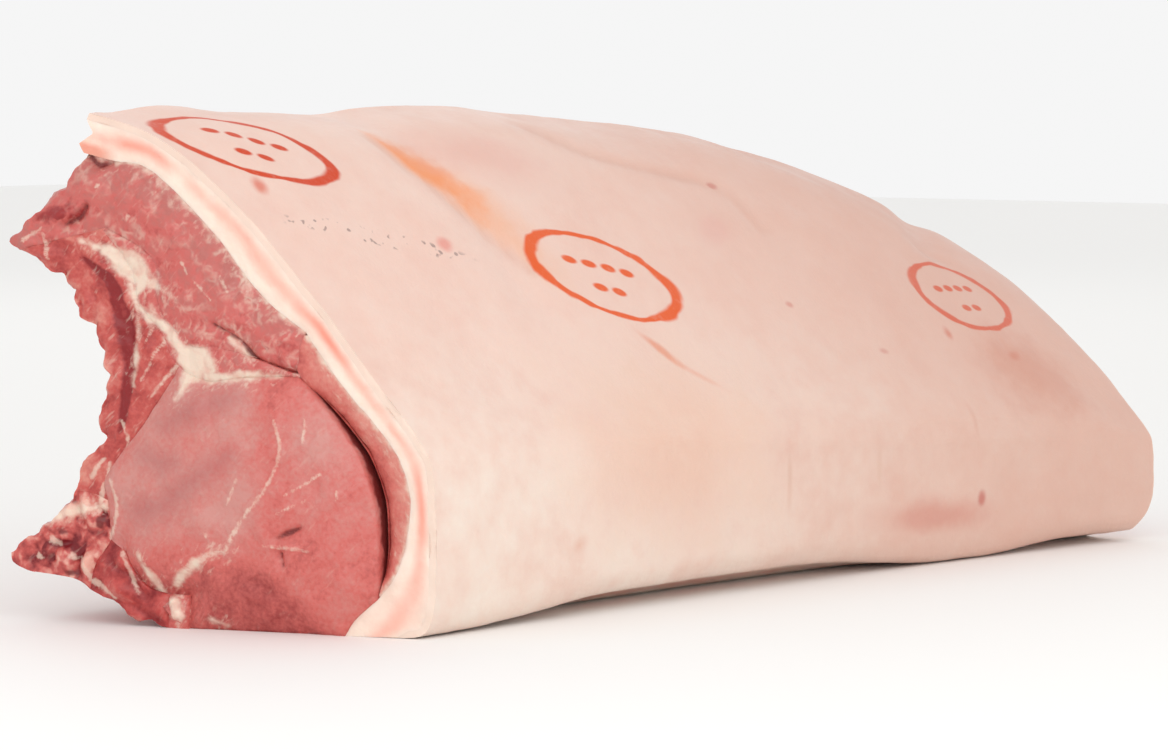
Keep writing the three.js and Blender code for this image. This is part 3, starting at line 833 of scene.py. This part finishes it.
blade_tone += 0.2 * smooth((134, 140), blade.flat[:, 0]) - 0.14 * smooth((64, 46), blade.flat[:, 0])
flap_edge = (blade.column == 0) * ~blade.cut
flap_fat = np.maximum(1.2 + 6 * ripple(blade.points, 26, 24, 2), -1.5)
fringe = gap_to(blade.flat, LEAN_TOP, [0.3, 0.3])
cut_fat = np.minimum(gaps(blade, SEAM_WHITE), fringe)
# Its clefts are painted dark red as shade.
paint(blade, blade_tone, np.where(flap_edge, flap_fat, cut_fat), BLADE_VEINS, blade_clefts)
dress(blade, *BLADE_TONES, 0.5, cell=BLADE_CELL, fleck=0.2, web=BLADE_WEB)

# Seam fat: the white fat between the flap's muscle and the muscles under it. It is soft and
# broken by threads of lean, widest under the flap and where three muscles meet over the eye.
SEAM_DEEP, SEAM_STEPS = 12, 24
seam = layer("seam_fat", seam_above, seam_below, SEAM_DEEP, SEAM_STEPS)
seam.stand_out(uneven(seam.points) + 0.7 * np.tanh(seam.from_rim / 2))
paint(seam, np.full(len(seam.share), 0.6), gaps(seam, SEAM_WHITE))
dress(seam, *BLADE_TONES, 0.45, cell=BLADE_CELL, web=BLADE_WEB)

# Rib meat: the meat over and between the ribs, along the hollow side. Its cut is torn along the
# edge, with a dark band behind it; inside the hollow a thin film lies over the ribs.
RIB_SIDE = [
    [143, 128], [132, 122.5], [124, 113.5], [117, 101], [113, 88],
    [112, 78], [114.5, 68], [113.5, 61.5], [119, 54], [124, 46],
]
RIB_FOOT = [[124, 46], [117.5, 45], [112.5, 43]]
EYE_AT_RIBS = [[98, 71], [107.5, 59], [113.3, 50], [112.5, 43]]
EYE_AT_RIBS_CELLS, RIB_STEPS = 62, 120
RIB_PITCH, RIB_HIGH, RIB_LEAN, BONE_WAVES_FROM = 36, 1.8, 0.35, 0.04  # the ribs' waves
RIB_TEAR, RIB_ROUND, RIB_ROUGH, RIB_TORN_HIGH = (12, 3, 10), 4, 1.2, 2.4
RIB_BAND = (
    [[120.5, 125.5], [115.5, 122.2], [110.2, 117.5], [107.4, 108.7],
     [105.3, 99.6], [104.3, 88.4], [105.5, 77.4], [107.4, 67.1]],
    [0.8, 1.6, 2.6, 2.9, 2.6, 2.2, 1.9, 1],
)
RIB_VEINS = [
    ([[96.8, 77.7], [91.5, 85.3], [85.4, 91.6]], [0.15, 0.3, 0.8]),
    ([[94, 73.7], [89.7, 79.6], [86.1, 84.1]], [0.1, 0.25, 0.6]),
    ([[99.6, 84.4], [94.6, 94.1], [90.3, 98.9]], [0.1, 0.3, 0.6]),
    ([[98.5, 97], [96, 102], [94, 104]], [0.1, 0.3, 0.6]),
    ([[111.7, 56], [112.5, 49.8], [115.4, 42.9]], [0.3, 0.8, 0.9]),
    ([[106.9, 70.6], [104.8, 63.8], [107.7, 56.9]], [0.2, 0.35, 0.2]),
    ([[118, 51], [113.5, 57]], [0.8, 0.3]),
    ([[134.7, 133.6], [133.2, 129.5], [132.6, 125.4]], [0.3, 0.6, 0.3]),
]
eye_at_ribs = spaced([seam_below[SEAM_AT_RIBS]] + EYE_AT_RIBS, EYE_AT_RIBS_CELLS)
seam_start = straight(seam_above[0], seam_below[0], 2)
rib_cells = 2 + SEAM_AT_RIBS + EYE_AT_RIBS_CELLS
rib_edge = spaced(RIB_SIDE, rib_cells)
rib_foot = spaced(RIB_FOOT, TIP_CELLS)
rib = Tissue(
    "rib_meat", rib_edge, joined(seam_start, seam_below[:SEAM_AT_RIBS + 1], eye_at_ribs),
    tip_to_seam, rib_foot, RIB_STEPS,
)
rib_inside = (1 - rib.row / rib.deep) ** 2 * fixed_ends(rib_cells, rib.column)
rib.tear(left_of(rib_edge)[rib.column], rib_inside, *RIB_TEAR)
rib_drift = 7 * ripple(rib.points, 90, 26, 2)
rib_run = rib.share * LENGTH - RIB_LEAN * rib.flat[:, 1] + rib_drift
rib_wave = np.cos(2 * np.pi * rib_run / RIB_PITCH)
hollow_side = (rib.row == 0) * off_cuts(rib.share, BONE_WAVES_FROM)
rib.swell(RIB_HIGH * rib_wave * hollow_side)
band = smooth((0.7, -0.7), gap_to(rib.flat, *RIB_BAND))
torn_edge = np.exp(-rib.row / rib.deep * 9)
torn_lumps = lumpy(rib.points, 9, 28) * torn_edge
rib.stand_out(
    uneven(rib.points) + rib.domed(RIB_ROUND) * (RIB_ROUGH + RIB_ROUGH * ripple(rib.points, 7, 12))
    - 0.6 * band + tip_relief(rib.flat) * fixed_ends(rib.deep, rib.row, 1)
    + RIB_TORN_HIGH * torn_lumps * fixed_ends(rib.deep, rib.row, 2)
)
rib_tone = 0.5 - 0.5 * band + 0.18 * torn_edge + 0.5 * torn_lumps * rib.cut
paint(rib, rib_tone + 0.25 * rib_wave * hollow_side, gaps(rib, SEAM_WHITE), RIB_VEINS)
rib.note("film", 0.55 * hollow_side * smooth((-0.2, 0.9), rib_wave))
dress(rib, "86191c", "bb5049", "d38b7c", 0.4, film="c99d90", fleck=0.35)

# Eye muscle: the large lean muscle of the loin, cut across its grain. It swells out of the cut;
# white seams part its bundles, and a small knife nick shows a tendon.
EYE_AT_CHINE = [[111.5, 29.5], [107, 27.5], [104, 21], [99, 14], [90.5, 11.5]]
SPINE_TIP = [[84, 11.5], [84, 0]]
CHINE_NECK_CELLS, EYE_AT_CHINE_CELLS, SPINE_TOP_CELLS = 14, 24, 6
EYE_SHOULDER, EYE_SIDE, EYE_FOOT_CELLS, SPINE_CELLS = 64, 94, 12, 22
EYE_STEPS, EYE_SWELL, EYE_ROUND = 48, 6, 9
EYE_CLEFT_DEEP, EYE_CLEFT_REACH = 2.2, 1.0
EYE_VEIN_HIGH, EYE_VEIN_REACH = 0.35, 0.8
EYE_WAVE_HIGH, EYE_LOW_SUNK = 0.8, 1.6
EYE_VEINS = [
    ([[51.5, 73], [49.5, 61], [55.4, 47.6], [62.6, 38.4], [68.5, 28]], [0.15, 0.3, 0.3, 0.35, 0.5]),
    ([[64, 52.6], [66.1, 47.8], [68.2, 43.3]], [0.1, 0.2, 0.1]),
    ([[55, 29.9], [47.5, 29.6], [39.7, 28.8]], [0.15, 0.35, 0.1]),
    ([[111, 50.7], [108.8, 44.4], [109.4, 35.8], [111.7, 30.3]], [0.2, 0.6, 0.6, 0.5]),
    ([[75.5, 33], [74.5, 32.5]], [0.4, 0.4]),
    ([[47.6, 47.3], [42.4, 50.2], [36, 54.4]], [0.1, 0.15, 0.1]),
    ([[50, 41], [40.7, 45.8]], [0.1, 0.15]),
    ([[41.2, 72.7], [41.5, 64.8]], [0.05, 0.15]),
    ([[29.7, 49], [30.1, 46.2]], [0.25, 0.15]),
]
EYE_BANDS = [
    ([[68.5, 28], [72.6, 26.8], [77.9, 24.2], [83.2, 19.9], [87.9, 15]], [0.3, 0.8, 1, 1, 0.6]),
    ([[99.9, 24.9], [98.1, 19.8], [94.6, 13.8], [91.8, 10.5]], [0.1, 0.6, 0.8, 0.4]),
]
EYE_FAT = [
    ([[67.7, 27.3], [72.6, 26.8], [77.9, 24.2], [83.2, 19.9], [87.9, 15]], [0.2, 0.9, 1.2, 1.2, 0.8]),
    ([[99.9, 24.9], [98.1, 19.8], [94.6, 13.8], [91.8, 10.5]], [0.1, 0.9, 1.3, 0.6]),
    ([[76, 3.8], [70.5, 1.6]], [0.5, 0.2]),
]
EYE_SMUDGES = [
    ([[90, 70], [79, 75.5], [66, 79.5]], [2, 3.5, 1.5]),
    ([[98, 59], [92, 56.5], [87, 57]], [1.5, 3, 1.5]),
    ([[91, 41.8], [82.7, 48.9], [67.4, 59.6]], [3, 2.4, 1.6]),
    ([[99, 40], [94.5, 41]], [3, 3]),
]
EYE_SHEEN = ((37, 64), (14, 19))  # a lighter patch, a painted sheen; centre, half sizes
# A knife nick and a small cleft, sunk and painted dark red as shade.
EYE_CLEFTS = [
    ([[50.6, 32.6], [47, 34.3], [43, 36.2]], [0.1, 0.7, 0.1]),
    ([[49.4, 27.5], [48.7, 23.4]], [0.4, 0.1]),
]
EYE_LOW = [
    [110, 24], [96, 18], [86, 17], [77, 23.5], [69, 25.5], [59, 22.5], [48, 17], [41, 9], [34, -4],
]  # the upper edge of the darker muscle at the foot
eye_rim = spaced([seam_below[-1]] + CREVICE[3:], EYE_SHOULDER + EYE_SIDE)
chine_neck = straight(RIB_FOOT[-1], EYE_AT_CHINE[0], CHINE_NECK_CELLS)
eye_at_chine = spaced(EYE_AT_CHINE, EYE_AT_CHINE_CELLS)
spine_top = straight(EYE_AT_CHINE[-1], SPINE_TIP[0], SPINE_TOP_CELLS)
spine_right = straight(*SPINE_TIP, SPINE_CELLS)
eye_foot = straight(SPINE_TIP[1], LEAN_FOOT[-1], SEAM_AT_EYE + EYE_SHOULDER - SPINE_CELLS)
eye = Tissue(
    "loin_eye", joined(seam_below[SEAM_AT_RIBS:], eye_rim[:EYE_SHOULDER + 1]),
    joined(spine_right, eye_foot),
    joined(eye_at_ribs, chine_neck, eye_at_chine, spine_top),
    joined(eye_rim[EYE_SHOULDER:], spaced(LEAN_FOOT, EYE_FOOT_CELLS)),
    EYE_STEPS,
)
eye_clefts = np.where(eye.share < 0.3, gaps(eye, EYE_CLEFTS), CLEAR)
eye_veins = gaps(eye, EYE_VEINS)
low_line = spaced(EYE_LOW, 200)
nearest = np.argmin(np.hypot(*(eye.flat[:, None] - low_line[None]).transpose(2, 0, 1)), axis=1)
below = -np.sum((eye.flat - low_line[nearest]) * left_of(low_line)[nearest], axis=1)
low_muscle = smooth((3.5, -6.5), below)
at_crevice = gap_to(eye.flat, CREVICE[2:], [0, 0])
eye.stand_out(
    EYE_SWELL * eye.domed(EYE_ROUND) - EYE_LOW_SUNK * low_muscle + uneven(eye.points)
    + EYE_WAVE_HIGH * ripple(eye.points, 26, 13)
    - EYE_CLEFT_DEEP * beside(eye_clefts, EYE_CLEFT_REACH)
    + EYE_VEIN_HIGH * beside(eye_veins, EYE_VEIN_REACH)
)
mauve = smooth((50, 66), eye.flat[:, 0]) * smooth((18, 40), eye.flat[:, 1])
smudged = smooth((7, -5), gaps(eye, EYE_SMUDGES))
# Painted highlight: the eye's tone is raised in a soft patch, a painted sheen.
painted_sheen = np.exp(-np.sum(((eye.flat - EYE_SHEEN[0]) / EYE_SHEEN[1]) ** 2, axis=1))
in_crevice = (at_crevice < 1) * ~eye.cut
# Painted shade: the eye's walls inside the open seam, its cut face along the seam and its nick are
# painted dark red.
paint(
    eye, 0.54 + 0.32 * mauve - 0.27 * low_muscle - 0.12 * smudged + 0.3 * painted_sheen,
    gaps(eye, SEAM_WHITE + EYE_FAT), EYE_VEINS + EYE_BANDS,
    np.where(in_crevice, shade_in_seam(eye), np.minimum(eye_clefts, at_crevice + 0.9)),
)
eye.note("film", 0.5 * smudged)
dress(eye, "8f3231", "c8655e", "c6877f", 0.15, film="a0615f", fleck=0.1)

# Chine bone: what the saw left of the backbone. Its cut is spongy red marrow at the tip, with
# white gristle along the upper slope, and splinters and torn meat hang from its edge.
CHINE_TOP = [[124, 46], [131, 37.5], [141, 30], [146.5, 23]]
CHINE_UNDER = [[146.5, 23], [144, 18.5], [125, 15.5], [119, 12]]
CHINE_INNER = [[111.5, 29.5], [117, 21], [119, 12]]
CHINE_STEPS, CHINE_TEAR = 120, (13, 3.2, 15)
VERTEBRA_PITCH, VERTEBRA_HIGH = 36, 1.6
SPONGE_HIGH, SPONGE_ROUND = 2.2, 2
CHINE_VEINS = [
    ([[111, 50.7], [108.8, 44.4], [109.4, 35.8], [111.7, 30.3]], [0.5, 1, 1, 0.6]),
    ([[116.6, 50.5], [114.4, 45.2], [116.1, 38.8]], [0.6, 1, 0.6]),
    ([[121.9, 22.4], [119.1, 17.2], [116, 14]], [0.9, 1.1, 0.8]),
    ([[132.4, 28.7], [130.4, 27.6]], [1.3, 0.8]),
    ([[125.8, 23.4], [124.4, 22.6]], [0.9, 0.6]),
    ([[138, 23], [136.4, 22.6]], [0.7, 0.4]),
]
# Holes in the cut, painted dark red as shade.
CHINE_CLEFTS = [
    ([[115, 36.2], [115.2, 34]], [1.3, 0.9]),
    ([[129.3, 31.6], [127.4, 31]], [0.7, 0.4]),
    ([[127.5, 17.6], [124, 17]], [0.6, 0.4]),
]
GRISTLE = ([[138.7, 34.2], [129.6, 37.2], [121.7, 39.4], [114, 40.5]], [0.4, 1.3, 1.6, 0.7])
MARROW = ([[142.2, 26], [135.4, 29.5], [127.4, 29], [118.5, 24.7]], [2.6, 3, 3, 2.6])
chine_cells = CHINE_NECK_CELLS + SPINE_CELLS
chine_edge = spaced(CHINE_TOP, chine_cells)
chine_inner = spaced(CHINE_INNER, SPINE_CELLS)
chine = Tissue(
    "chine_bone", chine_edge, joined(chine_neck, chine_inner),
    rib_foot, spaced(CHINE_UNDER, TIP_CELLS), CHINE_STEPS,
)
chine_inside = (1 - chine.row / chine.deep) ** 2 * smooth((0, 6), chine.column)
chine.tear(left_of(chine_edge)[chine.column], chine_inside, *CHINE_TEAR)
chine_drift = 5 * ripple(chine.points, 60, 27, 2)
vertebra = np.cos(2 * np.pi * (chine.share * LENGTH + chine_drift) / VERTEBRA_PITCH)
bone_side = (chine.row < 4) * off_cuts(chine.share, BONE_WAVES_FROM)
chine.swell(VERTEBRA_HIGH * vertebra * bone_side)
marrow = smooth((2, -2), gap_to(chine.flat, *MARROW))
nodules = lumpy(chine.points, 10, 17) + 0.6 * lumpy(chine.points, 6, 18)
spongy = chine.domed(SPONGE_ROUND) * SPONGE_HIGH * nodules
chine.stand_out(uneven(chine.points) + spongy)
# Painted shade: its clefts are dark red.
paint(
    chine, 0.55 - 0.28 * marrow + 0.36 * nodules * chine.cut + 0.2 * vertebra * bone_side,
    gap_to(chine.flat, *GRISTLE) + np.where(chine.cut, 0, 2.5 + 5 * ripple(chine.points, 19, 25, 2)),
    CHINE_VEINS, gaps(chine, CHINE_CLEFTS),
)
chine.note("film", 0.5 * bone_side * smooth((-0.1, 0.8), vertebra))
dress(chine, "720d16", "c05650", "dfa595", 0.9, fat="e6cfbd", film="cdb0a0", cell=3.2)

# Chine meat: the small red muscle between the backbone and the eye, torn where it was split,
# with white skins between its bundles.
CHINE_SPLIT = [[119, 12], [108.5, 6.5], [98, 1.8], [91, 0]]
CHINE_MEAT_STEPS, SPLIT_TEAR = 80, (12, 1.8, 20)
BUNDLE_HIGH, BUNDLE_ROUND = 2.2, 2
CHINE_MEAT_VEINS = [
    ([[107.1, 33], [104.3, 28], [101.8, 22.9], [100.8, 16.1]], [0.3, 0.4, 0.5, 0.3]),
    ([[107.2, 26.2], [103.9, 17.8], [101.7, 11.5]], [0.3, 0.5, 0.3]),
    ([[118, 15], [114.1, 13.1], [109, 9.5]], [1, 0.8, 0.3]),
]
spine_left = straight(EYE_AT_CHINE[-1], CHINE_SPLIT[-1], SPINE_CELLS)
split_edge = spaced(CHINE_SPLIT, EYE_AT_CHINE_CELLS)
chine_meat = Tissue("chine_meat", chine_inner, spine_left, eye_at_chine, split_edge, CHINE_MEAT_STEPS)
split_ends = fixed_ends(chine_meat.deep, chine_meat.row, 5)
split_inside = (chine_meat.column / chine_meat.across) ** 4 * split_ends
chine_meat.tear(left_of(split_edge)[chine_meat.row], split_inside, *SPLIT_TEAR)
bundles = lumpy(chine_meat.points, 11, 19)
lumps = chine_meat.domed(BUNDLE_ROUND) * (0.5 + BUNDLE_HIGH * bundles)
chine_meat.stand_out(uneven(chine_meat.points) + lumps)
paint(chine_meat, 0.36 + 0.28 * bundles * chine_meat.cut, vein=CHINE_MEAT_VEINS)
dress(chine_meat, "82191c", "ba4a45", "cc7f74", 0.45)

# Spine tip: the gristly end of the backbone's spines, a white nub at the table.
SPINE_STEPS = 40
NUB = ([[88.4, 8.6], [87.6, 5.2]], [2.2, 2.4])
spine = layer("spine_tip", spine_left, spine_right, SPINE_TOP_CELLS, SPINE_STEPS)
nub = gap_to(spine.flat, *NUB)
spine.stand_out(uneven(spine.points) + 2.4 * smooth((1, -1.5), nub))
paint(spine, np.full(len(spine.share), 0.3), nub)
dress(spine, "99302f", "cb675f", "bf7b74", 0.15, fat="ecd6c4")

# Studio: a white floor, soft light from all round with broad lamps in front and behind, and a
# long lens at a little above the height of the loin.
FLOOR_HALF = 4.0
FLOOR_TONE = "f6f5f3"
SKY_STRENGTH = 0.92
CAMERA_PLACE = (-1.36083, -1.04030, 0.19288)  # metres, as the lamps' values are
CAMERA_HEADING, CAMERA_TILT = 38, -3.917  # degrees from +X, and below level
CAMERA_LENS = 141.78
LAMPS = [
    ("key", (-0.8, -1.1, 0.6), 0.9, 4.8),
    ("front", (-1.4, -0.4, 0.55), 0.8, 2.4),
    ("back", (1.2, 1.4, 1.3), 1.4, 2.0),
]  # place, size, watts

floor_form = bmesh.new()
bmesh.ops.create_grid(floor_form, x_segments=1, y_segments=1, size=FLOOR_HALF)
floor_mesh = bpy.data.meshes.new("floor")
floor_form.to_mesh(floor_mesh)
floor_form.free()
floor = bpy.data.objects.new("floor", floor_mesh)
bpy.context.scene.collection.objects.link(floor)
floor_finish = Finish("floor", {"Base Color": tint(FLOOR_TONE), "Roughness": 0.7})
floor_mesh.materials.append(floor_finish.material)

for name, place, size, power in LAMPS:
    lamp = bpy.data.lights.new(name, "AREA")
    lamp.size = size
    lamp.energy = power
    stand = bpy.data.objects.new(name, lamp)
    stand.location = place
    stand.rotation_euler = (-Vector(place)).to_track_quat("-Z", "Y").to_euler()
    bpy.context.scene.collection.objects.link(stand)

sky = bpy.data.worlds.new("sky")
sky.use_nodes = True
sky.node_tree.nodes["Background"].inputs["Color"].default_value = (1, 1, 1, 1)
sky.node_tree.nodes["Background"].inputs["Strength"].default_value = SKY_STRENGTH
bpy.context.scene.world = sky
bpy.context.scene.view_settings.view_transform = "Standard"

heading, tilt = math.radians(CAMERA_HEADING), math.radians(CAMERA_TILT)
looks = Vector((math.cos(heading) * math.cos(tilt), math.sin(heading) * math.cos(tilt), math.sin(tilt)))
camera = bpy.data.objects.new("camera", bpy.data.cameras.new("camera"))
camera.data.lens = CAMERA_LENS
camera.location = CAMERA_PLACE
camera.rotation_euler = looks.to_track_quat("-Z", "Y").to_euler()
bpy.context.scene.collection.objects.link(camera)
bpy.context.scene.camera = camera
